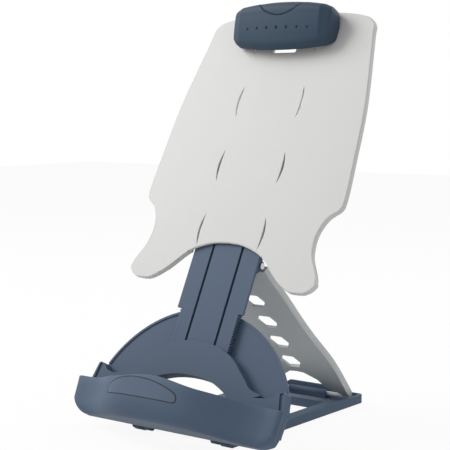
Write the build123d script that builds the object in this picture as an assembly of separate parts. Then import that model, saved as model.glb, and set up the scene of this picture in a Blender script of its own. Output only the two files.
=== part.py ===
from build123d import *
from math import atan2, cos, hypot, radians, sin, sqrt
import os

os.makedirs("parts", exist_ok=True)

# Driving sizes in mm and degrees. Stand sizes are (x, s, d): x to the right, s up the leaning face,
# d in front of it.
recline = 27.0  # the leaning face, from vertical
stand_y = -110.39  # where the leaning face meets the desk
base_rear_y = 142.63
fit_gap = 0.05  # radial play of a pin in its hole
slide_gap = 0.3  # between flat faces that move past each other
wall = 3.0  # sheet thickness of the moulded parts

# Board
board_top_s = 462.0
board_rim_depth = 6.5
board_rim_width = 3.2
travel = 95.0  # the board's run down the neck
nest_gap = 6.5  # left between board and cover at the lowest place
slit_x = 40.3
slit_height = 34.0
slit_width = 3.4
slit_s = (431.0, 359.4, 287.0, 216.6)
catch_half = 14.0  # window under the clip's lower edge
catch_low_s, catch_high_s = 415.5, 424.5

# Neck and racks
neck_half = 40.0
neck_front = -3.5
neck_top_s = 312.0
neck_bottom_s = 80.0
shoulder_s = 134.8
column_half = 31.5
rack_base = 3.2
tooth_height = 1.2
tooth_pitch = 2.6
channel_x = 17.8
channel_width = 2.8
channel_back = 0.8  # wall that closes the channels behind the posts' heads
channel_low_s = 92.0
channel_high_s = 302.0
rib_half = 9.0

slot_post_s = (262.0, 294.0)
guide_low, guide_high = 243.0, 301.0
guide_screw_places = ((50, 250), (50, 294))
screw_hole = 1.25

# Back plate and crescent cover
plate_front = -10.0
disc_radius = 122.0
plate_half = 114.0  # where the disc's sides are cut straight
disc_s = 16.0
plate_low_s = 26.0
cover_low_s = 14.0
crest = ((0, 103.0), (18, 101.4), (39, 94.3), (51, 86.4), (60, 77.8), (68.2, 70.2), (77, 63.8))
crest += ((86, 59.6), (94, 59.0))
arch = ((0, 69.0), (16, 68.0), (32, 64.3), (44, 58.8), (53, 51.0), (59, 41.0), (61, 30.0))

# Tray
tray_half = 124.5
tray_low_s = 12.0
tray_corner = 22.0
lip_end = 14.0
lip_reach = 52.0
lip_top_s = 48.0
ear_x = 112.0
ear_top_s = 67.0
lip_crown = 5.0  # rise of the lip's top in the middle
badge_inset = 69.0  # from the tray's left end
badge_s = 31.5
badge_length = 88.0
badge_height = 17.0

# Hinge to the base
hinge_s = 16.0
hinge_d = -17.0
hinge_pin_radius = 1.6
knuckle_radius = 4.0
lug_width = 8.6

# Base frame
base_half = 60.0
rail_width = 13.5
rail_top = 10.5
rail_low = 1.5
deck_front_y = 86.6
tub_front_y = 98.6
tub_wall = 4.0
rear_wall = 2.5
rear_tab_top = 14.2
rear_tab_half = 33.0
saddle_half = 24.0
pad_radius = 5.0
pad_height = 2.0
pad_inset = 8.0  # from the rails' outer faces

# Strut
pivot_s = 190.0
pivot_d = -19.0
strut_pin_radius = 2.0
barrel_radius = 5.0
rod_y = 128.63
rod_z = 8.5
rod_radius = 2.5
strut_sheet = 3.0
flange_depth = 7.5
flange_width = 2.6
strut_edge = ((35.0, -8.0), (38.5, -39.0), (40.5, -62.0), (42.5, -89.0), (47.0, -119.0))
window_t = (-55.0, -87.5, -119.5, -152.0)
window_half = 12.5
window_rise = 9.0

# Clip
clip_half = 60.0
clip_low_s = 414.0
clip_top_s = 464.0
clip_depth = 30.0
clip_face = 49.0  # half the width between the end facets
clip_end_drop = 8.0  # how far the ends fall back from the middle
clip_tilt = 19.7  # the front face, from the board's face
clip_wall = 2.4
clip_pin_s = 447.0
clip_pin_d = 9.0
clip_pin_radius = 1.5
clip_gap = 0.6  # between the cover's rim and the board
clip_heel_s = 427.0  # where the sloping underside reaches the board
clip_brow = (411.0, 10.0)  # its front end, as (s, d)
clip_pad_s = 433.4
scoop_low_s, scoop_low_d = 444.0, 28.2
scoop_reach = 33.3  # radius of the thumb scoop's rim
scoop_radius = 280.0
coil_wire = 0.45
dimple_s = 431.5
dimple_d = 24.2
dimple_pitch = 12.3
dimple_radii = (1.0, 1.25, 1.5, 1.7, 1.5, 1.25, 1.0)

# Places worked out from the driving sizes
lean = radians(recline)
badge_x = badge_inset - tray_half
lug_outer_x = base_half - rail_width - 3 * slide_gap
lug_inner_x = lug_outer_x - lug_width
foot_half = base_half - tub_wall - 4.0  # half the length of the strut's foot rod
stand = Plane(origin=(0, stand_y, 0), x_dir=(1, 0, 0), z_dir=(0, -cos(lean), sin(lean)))


def world(s, d):
    """Desk coordinates (y, z) of a place on the stand."""
    return stand_y + s * sin(lean) - d * cos(lean), s * cos(lean) + d * sin(lean)


pivot_y, pivot_z = world(pivot_s, pivot_d)
hinge_y, hinge_z = world(hinge_s, hinge_d)
strut_length = hypot(rod_y - pivot_y, pivot_z - rod_z)
strut_angle = atan2(rod_y - pivot_y, pivot_z - rod_z)
strut_frame = Plane(
    origin=(0, pivot_y, pivot_z), x_dir=(1, 0, 0), z_dir=(0, -cos(strut_angle), -sin(strut_angle))
)
arch_shift = travel + nest_gap
rack_tip = column_half + rack_base + tooth_height


def both_sides(points):
    """Points given for x >= 0 from the middle outwards, made into one row from left to right."""
    left = [(-x, y) for x, y in reversed(points) if x > 0]
    return left + [(x, y) for x, y in points]


def slab(sketch, low, high):
    """Extrude a sketch drawn in (x, s) so that it spans d from low to high."""
    return extrude(Pos(0, 0, low) * sketch, amount=high - low)


def box(x0, x1, y0, y1, z0, z1):
    """Box between two corners."""
    return Pos((x0 + x1) / 2, (y0 + y1) / 2, (z0 + z1) / 2) * Box(x1 - x0, y1 - y0, z1 - z0)


def rod_x(radius, x0, x1, y, z):
    """Round bar along x between x0 and x1."""
    return Pos((x0 + x1) / 2, y, z) * Rot(0, 90, 0) * Cylinder(radius, x1 - x0)


def rod_d(radius, x, s, d0, d1):
    """Round bar along d between d0 and d1."""
    return Pos(x, s, (d0 + d1) / 2) * Cylinder(radius, d1 - d0)


def screw(x, s, head_d, tip_d, head_radius=3.0, head_height=1.6):
    """Pan-head screw seen from behind: the head is at head_d and the shank runs to tip_d."""
    head = rod_d(head_radius, x, s, head_d - head_height, head_d)
    shank = rod_d(screw_hole, x, s, head_d, tip_d)
    low = head_d - head_height
    cross = box(x - 2.0, x + 2.0, s - 0.35, s + 0.35, low, low + 0.8)
    cross += box(x - 0.35, x + 0.35, s - 2.0, s + 2.0, low, low + 0.8)
    return head + shank - cross


def save(node, solids, frame=None):
    """Write one node to its own file, in the desk frame."""
    solids = solids if isinstance(solids, list) else [solids]
    bodies = []
    for one in solids:
        moved = frame.location * one if frame else one
        bodies += list(moved.solids())
    export_step(Compound(children=bodies) if len(bodies) > 1 else bodies[0], f"parts/{node}.step")
    low = [min(tuple(b.bounding_box().min)[i] for b in bodies) for i in range(3)]
    high = [max(tuple(b.bounding_box().max)[i] for b in bodies) for i in range(3)]
    volume = sum(b.volume for b in bodies)
    spans = " ".join(f"{a:.1f}..{b:.1f}" for a, b in zip(low, high))
    print(f"{node:16s} {len(bodies)} solids {volume / 1000:8.2f} cm3  {spans}", all(b.is_valid for b in bodies))


# Board: sheet, rim, notches and slits
crest_row = [(x, s + arch_shift) for x, s in both_sides(crest)]
corner_right = (102.0, 160.9)
side_right = (corner_right, (108.5, 164.2), (113.6, 170.6))
notch_right = ((112.0, 175.8), (103.2, 193.0), (99.8, 208.0), (100.4, 222.0), (107.2, 237.0), (118.6, 247.0))
edge_right = ((120.4, 253.0), (118.3, 304.0), (114.4, 354.6), (100.6, 437.0))
shoulder_right = ((99.4, 445.5), (93.5, 452.2), (82.0, 456.4))
top_row = both_sides(((0, board_top_s), (56.0, 460.2), shoulder_right[-1]))


def face_in(lines):
    """Face inside a closed row of lines."""
    return make_face([edge for line in lines for edge in line.edges()])


def board_face():
    """Outline of the board as one face."""
    right = [Spline(*side_right, tangents=((1, 0.3), (0.2, 1)))]
    right.append(Spline(side_right[-1], *notch_right, edge_right[0], tangents=((-0.1, 1), (0.25, 1))))
    right.append(Spline(*edge_right, tangents=((0, 1), (-0.16, 1))))
    right.append(Spline(edge_right[-1], *shoulder_right, tangents=((-0.16, 1), (-1, 0.2))))
    left = [mirror(edge, about=Plane.YZ) for edge in right]
    corner_left = (-corner_right[0], corner_right[1])
    low = Spline(corner_left, *crest_row, corner_right, tangents=((1, -0.25), (1, 0.25)))
    top = Spline(*top_row, tangents=((1, 0.2), (1, -0.2)))
    return face_in([low, top] + right + left)


def shrunk(face, factor, middle_s):
    """The face scaled about a place on the middle line."""
    return Pos(0, middle_s) * scale(Pos(0, -middle_s) * face, by=factor)


outline = board_face()
board = slab(outline, -wall, 0)
inner_outline = shrunk(outline, 1 - board_rim_width / edge_right[0][0], 310)
rim = slab(outline, -board_rim_depth, -wall) - slab(inner_outline, -board_rim_depth, -wall)
rim -= box(-48, 48, 150, 215, -board_rim_depth, -wall)
board += rim
slit_radius = (slit_height**2 / 4 + slit_width**2) / (2 * slit_width)
for side in (-1, 1):
    for s in slit_s:
        near = rod_d(slit_radius, side * (slit_x + slit_radius - slit_width), s, -wall, 0)
        far = rod_d(slit_radius * 1.35, side * (slit_x + slit_radius * 1.35 - slit_width * 0.1), s, -wall, 0)
        board -= near - far
board -= box(-catch_half, catch_half, catch_low_s, catch_high_s, -wall, 0)
for side in (-1, 1):
    for x, s in guide_screw_places:
        board -= rod_d(screw_hole, side * x, s, -wall, -wall + 1.8)
    for s in slot_post_s:
        board -= rod_d(channel_width / 2 - 0.2, side * channel_x, s, -wall, -wall + 1.8)
save("board", board, stand)

# Neck plate with two lengthwise slots and a stiffening rib
neck_back = neck_front - wall
neck = box(-neck_half, neck_half, shoulder_s, neck_top_s, neck_back, neck_front)
neck += box(-column_half, column_half, neck_bottom_s, shoulder_s, neck_back, neck_front)
neck += box(-rib_half, rib_half, neck_bottom_s, neck_top_s, plate_front, neck_back)
neck += box(-column_half, column_half, neck_bottom_s, neck_top_s, plate_front, plate_front + channel_back)
for side in (-1, 1):
    channel = SlotOverall(channel_high_s - channel_low_s, channel_width, rotation=90)
    place = Pos(side * channel_x, (channel_high_s + channel_low_s) / 2)
    neck -= slab(place * channel, neck_back, neck_front)
corner = neck.edges().filter_by(Axis.Z).group_by(Axis.Y)[-1]
neck = fillet([e for e in corner if abs(e.center().X) > 30], 6)


def rack():
    """Toothed strip on the right edge of the neck."""
    root = column_half + rack_base
    strip = box(column_half, root, neck_bottom_s, neck_top_s - 8, plate_front, neck_back)
    strip += box(column_half, root, neck_bottom_s, shoulder_s, neck_back, neck_front)
    count = int((neck_top_s - 8 - neck_bottom_s) / tooth_pitch) - 1
    for i in range(count):
        s = neck_bottom_s + (i + 1) * tooth_pitch
        foot, tip = 0.42 * tooth_pitch, 0.12 * tooth_pitch
        points = ((root, s - foot), (rack_tip, s - tip), (rack_tip, s + tip), (root, s + foot))
        high = neck_front if s + foot < shoulder_s else neck_back
        strip += slab(make_face(Polyline(*points, close=True)), plate_front, high)
    return strip


neck_screw_places = ((-24.5, 88), (24.5, 88), (-24.5, 122), (24.5, 122))
bracket_screw_places = ((-25, 181), (25, 181), (-25, 199), (25, 199))
for x, s in neck_screw_places + bracket_screw_places:
    neck += rod_d(3.2, x, s, plate_front, neck_back)
    neck -= rod_d(screw_hole, x, s, plate_front, neck_front - 0.8)
save("neck_plate", neck, stand)
right_rack = rack()
save("rack_right", right_rack, stand)
save("rack_left", mirror(right_rack, about=Plane.YZ), stand)

# Back plate: half disc with an arched opening and lugs for the base hinge
arch_low_s = 30.0
arch_line = Spline(*both_sides(arch), tangents=((0.05, 1), (0.05, -1)))
arch_face = face_in([arch_line, Line((-61, arch_low_s), (61, arch_low_s))])
disc = Pos(0, disc_s) * Circle(disc_radius)
half_disc = disc & Pos(0, plate_low_s + 100) * Rectangle(2 * plate_half, 200)
inner_disc = Pos(0, disc_s) * Circle(disc_radius - 2.2) & Pos(0, plate_low_s + 100) * Rectangle(300, 200)
plate_back = plate_front - wall
back_plate = slab(half_disc - arch_face, plate_back, plate_front)
beyond_neck = Pos(0, 120) * Rectangle(2 * (rack_tip + 3.5), 100)
beside_cover = Pos(0, 40) * Rectangle(300, 2 * (ear_top_s + 2 - 40))
back_plate += slab(half_disc - inner_disc - beyond_neck - beside_cover, plate_front, plate_front + 1.2)
for side in (-1, 1):
    x_low, x_high = sorted((side * lug_inner_x, side * lug_outer_x))
    lug_points = [(plate_low_s, plate_back), (50, plate_back), (30, hinge_d - 3.6)]
    lug_points += [(hinge_s, hinge_d - knuckle_radius), (hinge_s, hinge_d + knuckle_radius)]
    side_plane = Plane(origin=(x_low, 0, 0), x_dir=(0, 1, 0), z_dir=(1, 0, 0))
    lug = extrude(side_plane * make_face(Polyline(*lug_points, close=True)), amount=x_high - x_low)
    lug += rod_x(knuckle_radius, x_low, x_high, hinge_s, hinge_d)
    back_plate += lug - rod_x(hinge_pin_radius, x_low - 1, x_high + 1, hinge_s, hinge_d)
cover_screw_places = ((-84, 40), (84, 40), (-72, 57), (72, 57))
for x, s in neck_screw_places + cover_screw_places:
    back_plate -= rod_d(screw_hole + 0.2, x, s, plate_back, plate_front)
save("back_plate", back_plate, stand)
save("neck_screws", [screw(x, s, plate_back, neck_front - 1.0) for x, s in neck_screw_places], stand)

# Crescent cover: follows the crest, with the same arched opening, walls down to the back plate and screw posts
cover_crest = Spline(*both_sides(crest), tangents=((1, -0.1), (1, 0.1)))
side_row = [crest[-1], (101, 60.6), (104.5, 64), (108, ear_top_s), (ear_x, ear_top_s + 0.8)]
side_row += [(ear_x + 2, ear_top_s - 1), (ear_x + 6, lip_top_s), (ear_x + 3, 32), (106, cover_low_s)]
cover_right = [Polyline(*side_row)]
cover_left = [mirror(line, about=Plane.YZ) for line in cover_right]
cover_floor = Line((-106, cover_low_s), (106, cover_low_s))
cover_face = face_in([cover_crest, cover_floor] + cover_right + cover_left)
inside = Pos(0, -2.4) * cover_face & Pos(0, 90) * Rectangle(2 * ear_x - 2, 200)
pocket = inside - shrunk(arch_face, 1.04, arch_low_s)
cover = slab(cover_face, plate_front, 0) - slab(pocket, plate_front, -wall) - slab(arch_face, plate_front, 0)
cover -= box(-150, 150, 0, plate_low_s + 0.2, plate_front - 1, -wall)
cover -= box(-rack_tip - 0.8, rack_tip + 0.8, neck_bottom_s - 1, 110, plate_front, neck_front + slide_gap)
for x, s in cover_screw_places:
    cover += rod_d(3.2, x, s, plate_front, -wall)
    cover -= rod_d(screw_hole, x, s, plate_front, -wall + 1)
notch_row = ((108, 65.5), (ear_x, ear_top_s - 0.5), (ear_x + 3, lip_top_s + 1), (ear_x - 0.5, lip_top_s + 1.5))
notch = slab(make_face(Polyline(*notch_row, close=True)), -1.4, 0)
cover -= notch + mirror(notch, about=Plane.YZ)
save("crescent_cover", cover, stand)
save("cover_screws", [screw(x, s, plate_back, -wall + 0.8) for x, s in cover_screw_places], stand)


# Tray: trough open at the top and at the back, with a lip that bulges forwards in the middle
def tray_plan(inset, low, high):
    """Plan outline of the tray, inset by the wall and standing between two heights."""
    end = tray_half - inset
    row = [(0, lip_reach - inset)]
    shape = ((0.17, 0.98), (0.34, 0.87), (0.5, 0.63), (0.62, 0.37), (0.74, 0.14), (0.86, 0.01))
    row += [(end * x, lip_end - inset + (lip_reach - lip_end) * d) for x, d in shape]
    row += [(end - 3, 13.0 - inset), (end, 10.5 - 0.6 * inset), (end - 2.6, 5.5), (end - 7, 0)]
    right = Spline(*row, tangents=((1, 0), (-0.8, -1)))
    plan = face_in([right, mirror(right, about=Plane.YZ), Line((7 - end, 0), (end - 7, 0))])
    return extrude(Plane(origin=(0, high, 0), x_dir=(1, 0, 0), z_dir=(0, -1, 0)) * plan, amount=high - low)


def side_prism(points, half):
    """Prism along x over a row of (s, d) places."""
    start = Plane(origin=(-half, 0, 0), x_dir=(0, 1, 0), z_dir=(1, 0, 0))
    return extrude(start * make_face(Polyline(*points, close=True)), amount=2 * half)


def tray_body(inset):
    """Outer shape of the tray, or its hollow when inset by the wall."""
    low = tray_low_s + inset
    high = lip_top_s + inset
    reach = lip_reach - inset
    front = Pos(0, low + 40) * RectangleRounded(2 * (tray_half - inset), 80, tray_corner - inset)
    rim_row = ((0, high + lip_crown), (18, high + 0.92 * lip_crown), (38, high + 0.35 * lip_crown))
    rim_line = Spline(*both_sides(rim_row + ((54, high), (80, high), (130, high))))
    front &= face_in([rim_line, Polyline(rim_line @ 1, (130, 0), (-130, 0), rim_line @ 0)])
    high += lip_crown
    side_row = [(low, -1), (low, reach - 18), (low + 4, reach - 10.5), (low + 11, reach - 4.5)]
    side_row += [(low + 22, reach - 1), (high, reach + 1), (high, -1)]
    return tray_plan(inset, low, high) & slab(front, -1, lip_reach + 5) & side_prism(side_row, 150)


tray_skin = tray_body(0)
tray = tray_skin - tray_body(wall)
save("tray", tray, stand)
moon_row = ((0.03, 0), (0, 0.3), (0.08, 0.62), (0.27, 0.92), (0.46, 1.0), (0.66, 0.92), (0.9, 0.62))
moon_row += ((1, 0.3), (0.97, 0))
moon_line = Spline(*[(badge_x + badge_length * x, badge_s + badge_height * y) for x, y in moon_row])
moon = face_in([moon_line, Line(moon_line @ 1, moon_line @ 0)])
badge = (tray_body(-0.6) - tray_skin) & slab(moon, 5, 80)
save("badge_plate", badge, stand)

# Strut bracket: plate on the neck's back with two lugs for the strut pin
bracket = box(-34, 34, 175, 205, plate_back, plate_front)
for side in (-1, 1):
    x_low, x_high = sorted((side * 29, side * 34))
    side_plane = Plane(origin=(x_low, 0, 0), x_dir=(0, 1, 0), z_dir=(1, 0, 0))
    lug_points = [(178, plate_back), (202, plate_back), (pivot_s + barrel_radius, pivot_d)]
    lug_points += [(pivot_s - barrel_radius, pivot_d)]
    lug = extrude(side_plane * make_face(Polyline(*lug_points, close=True)), amount=5)
    lug += rod_x(barrel_radius, x_low, x_high, pivot_s, pivot_d)
    bracket += lug - rod_x(strut_pin_radius, x_low - 1, x_high + 1, pivot_s, pivot_d)
for x, s in bracket_screw_places:
    bracket -= rod_d(screw_hole + 0.2, x, s, plate_back, plate_front)
save("strut_bracket", bracket, stand)
save("bracket_screws", [screw(x, s, plate_back, neck_front - 1.0) for x, s in bracket_screw_places], stand)
strut_pin = rod_x(strut_pin_radius, -35.5, 34, pivot_s, pivot_d) + rod_x(3.2, 34, 35.5, pivot_s, pivot_d)
strut_pin += rod_x(3.2, -36.5, -34, pivot_s, pivot_d)
save("strut_pin", strut_pin, stand)

# Strut, drawn in (x, t, e): t up from the pin, e in front of its middle plane
half_sheet = strut_sheet / 2
foot_tip = -strut_length - 3.2


def strut_face(inset):
    """Outline of the strut, inset by the width of its flanges."""
    low_edge = ((foot_half, -146.0), (foot_half + 1, -172.0))
    edge = [(x - inset, t) for x, t in strut_edge + low_edge]
    foot_row = [edge[-1], (foot_half + 0.3 - inset, -strut_length + 3), (foot_half - 1.5 - inset, foot_tip)]
    foot_row += [(foot_half - 7 + inset, foot_tip), (foot_half - 8.5 + inset, inset - 199.5)]
    foot_row += [(27, -190 + inset), (22, -179 + inset), (9, -169.5 + inset)]
    foot_row += [(0, -168.5 + inset)]
    edge[0] = (edge[0][0], edge[0][1] - inset)
    top = Polyline((0, -7 - inset), (edge[0][0], -7 - inset), edge[0])
    lines = [top, Spline(*edge, tangents=((0.1, -1), (0, -1))), Polyline(*foot_row)]
    return face_in(lines + [mirror(line, about=Plane.YZ) for line in lines])


hexagon = [(window_half, 0), (0.55 * window_half, window_rise), (-0.55 * window_half, window_rise)]
hexagon += [(-x, -y) for x, y in hexagon]
window = make_face(Polyline(*hexagon, close=True))
window = fillet(window.vertices(), 2.2)
strut = slab(strut_face(0), -flange_depth + half_sheet, half_sheet)
strut -= slab(strut_face(flange_width), -flange_depth + half_sheet, -half_sheet)
for t in window_t:
    strut -= slab(Pos(0, t) * window, -half_sheet, half_sheet)
for side in (-1, 1):
    strut -= box(side * 27 - 17, side * 27 + 17, foot_tip - 1, -165, -flange_depth, -half_sheet)
    foot = rod_x(3.2 + rod_radius / 2, *sorted((side * (foot_half - 6), side * foot_half)), -strut_length, 0)
    strut += foot & box(-base_half, base_half, -strut_length - 9, -strut_length + 9, -6, half_sheet)
    barrel = rod_x(barrel_radius, *sorted((side * 12, side * (29 - slide_gap))), 0, 0)
    web = box(*sorted((side * 12, side * (29 - slide_gap))), -8, 0, -half_sheet, half_sheet)
    strut += barrel + web
    gusset_plane = Plane(origin=(side * 33 - 1, 0, 0), x_dir=(0, 1, 0), z_dir=(1, 0, 0))
    gusset = make_face(Polyline((-9, -half_sheet), (-9, -7), (-24, -13), (-58, -half_sheet), close=True))
    strut += extrude(gusset_plane * gusset, amount=2)
strut -= rod_x(strut_pin_radius + fit_gap, -base_half, base_half, 0, 0)
strut -= rod_x(rod_radius, -base_half, base_half, -strut_length, 0)
save("strut", strut, strut_frame)
foot_rod = rod_x(rod_radius, -foot_half, foot_half, -strut_length, 0)
save("foot_rod", foot_rod, strut_frame)

# Base frame, drawn on the desk: rails, deck, tub, raised rear wall and the saddle for the foot rod
base_front_y = hinge_y - knuckle_radius
base = box(-base_half, base_half, hinge_y, base_rear_y, rail_low, rail_top)
base -= box(-base_half + rail_width, base_half - rail_width, hinge_y - 1, deck_front_y, rail_low, rail_top)
tub = base_half - tub_wall
base -= box(-tub, tub, tub_front_y, base_rear_y - rear_wall, rail_low + 2.5, rail_top)
base = fillet(base.edges().filter_by(Axis.Z).group_by(Axis.Y)[-1], 5)
tab_row = both_sides(((rear_tab_half, rear_tab_top), (rear_tab_half + 7, rail_top)))
tab = make_face(Polyline(*tab_row, close=True))
base += extrude(Plane(origin=(0, base_rear_y, 0), x_dir=(1, 0, 0), z_dir=(0, -1, 0)) * tab, amount=rear_wall)
base += box(-base_half + rail_width, base_half - rail_width, hinge_y + 10, hinge_y + 20, rail_low, 6)
for side in (-1, 1):
    x_low, x_high = sorted((side * (base_half - rail_width), side * base_half))
    nose = rod_x(knuckle_radius, x_low, x_high, hinge_y, hinge_z)
    base += nose
    base -= rod_x(hinge_pin_radius + fit_gap, x_low - 1, x_high + 1, hinge_y, hinge_z)
saddle_radius = rod_radius + 2.8
saddle = rod_x(saddle_radius, -saddle_half, saddle_half, rod_y, rod_z)
saddle += box(-saddle_half, saddle_half, rod_y - saddle_radius, rod_y + saddle_radius, rail_low + 2.5, rod_z)
saddle -= box(-saddle_half, saddle_half, rod_y - rod_radius - fit_gap, rod_y + 20, rod_z, rod_z + 20)
ramp_row = ((rod_y + 1.5, rod_z - 1.7), (rod_y + 9, rod_z + 4), (rod_y + 1.5, rod_z + 4))
saddle -= side_prism(ramp_row, saddle_half)
base += saddle - rod_x(rod_radius + fit_gap, -saddle_half, saddle_half, rod_y, rod_z)
pad_x = base_half - pad_inset
pad_places = [(x, y) for y in (hinge_y + 22.6, base_rear_y - 20.0) for x in (-pad_x, pad_x)]
for x, y in pad_places:
    base -= Pos(x, y, rail_low) * Cylinder(pad_radius, 1.0)
save("base_frame", base)
save("foot_pads", [Pos(x, y, pad_height / 2) * Cylinder(pad_radius, pad_height) for x, y in pad_places])
hinge_pins = []
for side in (-1, 1):
    shank = rod_x(hinge_pin_radius, *sorted((side * lug_inner_x, side * (base_half - 1.2))), hinge_y, hinge_z)
    hinge_pins.append(shank)
save("hinge_pins", hinge_pins)

# Guides that hold the board on the neck's edges
guide = box(neck_half + slide_gap, 56, guide_low, guide_high, plate_front, -wall)
guide += box(rack_tip + 0.5, neck_half + slide_gap, guide_low, guide_high, plate_front, neck_back - slide_gap)
guide -= box(rack_tip, 46, 254, 290, plate_front, neck_back - slide_gap)
for x, s in guide_screw_places:
    guide -= rod_d(screw_hole + 0.2, x, s, plate_front, -wall)
save("guide_right", guide, stand)
save("guide_left", mirror(guide, about=Plane.YZ), stand)
guide_screws = []
for x, s in guide_screw_places:
    guide_screws += [screw(side * x, s, plate_front, -wall + 1.8, 2.6) for side in (-1, 1)]
save("guide_screws", guide_screws, stand)

# Headed posts that run in the neck's slots
slot_posts = []
for side in (-1, 1):
    for s in slot_post_s:
        shank = rod_d(channel_width / 2 - 0.2, side * channel_x, s, neck_back - 0.4, -wall + 1.8)
        slot_posts.append(shank + rod_d(3.4, side * channel_x, s, neck_back - 2.4, neck_back - 0.4))
save("slot_posts", slot_posts, stand)


def detent():
    """Bowed leaf on the right, just clear of the rack's teeth."""
    height, depth = 34.0, 46.0 - rack_tip - 0.25
    radius = (height**2 / 4 + depth**2) / (2 * depth)
    centre = Pos(rack_tip + 0.25 + radius, 272)
    ring = centre * Circle(radius) - centre * Circle(radius - 0.6)
    return slab(ring & Pos(36, 272) * Rectangle(20, 60), plate_front + 0.6, neck_back - 0.9)


save("detent_springs", [detent(), mirror(detent(), about=Plane.YZ)], stand)

# Clip base: hinge block on the board's front, with its pin and coil
clip_base = box(-42, 42, 437, 456, 0, 4)
for side in (-1, 1):
    x_low, x_high = sorted((side * 36, side * 42))
    clip_base += rod_x(4, x_low, x_high, clip_pin_s, clip_pin_d) + box(x_low, x_high, 443, 451, 3, clip_pin_d)
clip_base -= rod_x(clip_pin_radius, -60, 60, clip_pin_s, clip_pin_d)
save("clip_base", clip_base, stand)
save("clip_pin", rod_x(clip_pin_radius, -48, 48, clip_pin_s, clip_pin_d), stand)
coil_path = Helix(pitch=1.1, height=7.7, radius=clip_pin_radius + coil_wire + 0.01)
coil = sweep(Plane(origin=coil_path @ 0, z_dir=coil_path % 0) * Circle(coil_wire), path=coil_path)
coil = Pos(-3.85, clip_pin_s, clip_pin_d) * Rot(0, 90, 0) * coil
save("clip_spring", coil, stand)


def clip_body(inset):
    """Domed outer shape of the clip cover, or its hollow when inset by the wall."""
    half = clip_half - inset
    low = Spline((-half, clip_low_s + 6.5 + inset), (0, clip_low_s + inset), (half, clip_low_s + 6.5 + inset))
    corner_s = clip_top_s - 6 - inset
    high = Spline((half - 2, corner_s), (0, clip_top_s - inset), (2 - half, corner_s))
    front = face_in([low, Line(low @ 1, high @ 0), high, Line(high @ 1, low @ 0)])
    front = fillet(front.vertices(), 6 - inset)
    crown = clip_depth - inset
    facet = crown - 0.3 * clip_end_drop
    arc = ThreePointArc((-clip_face, facet), (0, crown), (clip_face, facet))
    end = crown - clip_end_drop
    right_end = [(half, end), (half + 4, end - 4), (half + 4, -40)]
    left_end = [(-x, d) for x, d in reversed(right_end)]
    plan = face_in([arc, Polyline(arc @ 1, *right_end, *left_end, arc @ 0)])
    slope = Vector(0, -cos(radians(clip_tilt)), -sin(radians(clip_tilt)))
    top = Plane(origin=(0, clip_low_s + 41, 0), x_dir=(1, 0, 0), z_dir=(0, -1, 0))
    plan = extrude(top * plan, amount=70, dir=slope) + extrude(top * plan, amount=25, dir=(0, 1, 0))
    nose_row = [(411, 11.0 - inset), (416, 17.5 - inset), (424, 21.5 - inset), (431, 24.2 - inset)]
    nose_row += [(444, 28.2 - inset), (453, 30.0 - inset), (459 - 0.5 * inset, 27.0 - inset)]
    nose_row += [(463 - inset, 19.0 - 0.6 * inset), (465.5 - inset, 8.5 - 0.6 * inset)]
    nose = Spline(*nose_row)
    nose_end = nose @ 1
    back = Polyline(nose_end, (463, 5.5), (449, clip_gap + 3.5), (441, clip_gap), (410, clip_gap), nose @ 0)
    if inset:
        back = Polyline(nose_end, (468, -9), (410, -9), nose @ 0)
    side_plane = Plane(origin=(-80, 0, 0), x_dir=(0, 1, 0), z_dir=(1, 0, 0))
    side = extrude(side_plane * face_in([nose, back]), amount=160)
    return slab(front, -1, 50) & plan & side


heel = (clip_heel_s, clip_gap)
underside = [heel, (clip_heel_s + 1.2 * clip_wall, clip_gap), (clip_brow[0] + 1.2 * clip_wall, clip_brow[1])]
underside += [(clip_brow[0], clip_brow[1] + 3), clip_brow]
below = [heel, clip_brow, (clip_brow[0] - 10, clip_brow[1]), (clip_brow[0] - 10, -10), (clip_heel_s, -10)]
shell = clip_body(0) - clip_body(clip_wall)
shell += clip_body(0) & side_prism(underside, clip_half + 5)
shell -= side_prism(below, clip_half + 5)
clip_rib = box(-50, 50, clip_pad_s - 1, clip_pad_s + 1, 4, 30)
for side in (-1, 1):
    ear_low, ear_high = sorted((side * 43, side * 46))
    clip_rib += box(ear_low, ear_high, 440, 454, clip_pin_d - 4, 30)
shell += clip_rib & clip_body(1.0)
shell -= rod_x(clip_pin_radius + fit_gap, -60, 60, clip_pin_s, clip_pin_d)
tilt = radians(clip_tilt)
rise = sqrt(scoop_radius**2 - scoop_reach**2)
scoop_s = scoop_low_s + scoop_reach * cos(tilt) - rise * sin(tilt)
shell -= Pos(0, scoop_s, scoop_low_d + scoop_reach * sin(tilt) + rise * cos(tilt)) * Sphere(scoop_radius)
middle = (len(dimple_radii) - 1) / 2
for i, radius in enumerate(dimple_radii):
    x = (i - middle) * dimple_pitch
    sink = dimple_d - 0.3 * clip_end_drop * (x / clip_face) ** 2
    shell -= Pos(x, dimple_s, sink + radius * 0.4) * Sphere(radius)
save("clip_cover", shell, stand)
pad = box(-48, 48, clip_pad_s - 3, clip_pad_s + 3, 0.3, 9) - box(-50, 50, clip_pad_s - 1, clip_pad_s + 1, 4, 9)
save("clip_pad", pad, stand)
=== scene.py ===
"""Desk document holder: the finishes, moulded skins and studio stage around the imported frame."""

from math import cos, hypot, pi, radians, sin

import bmesh
import bpy
from bpy.props import FloatProperty, FloatVectorProperty, PointerProperty
from mathutils import Matrix, Vector


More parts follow.
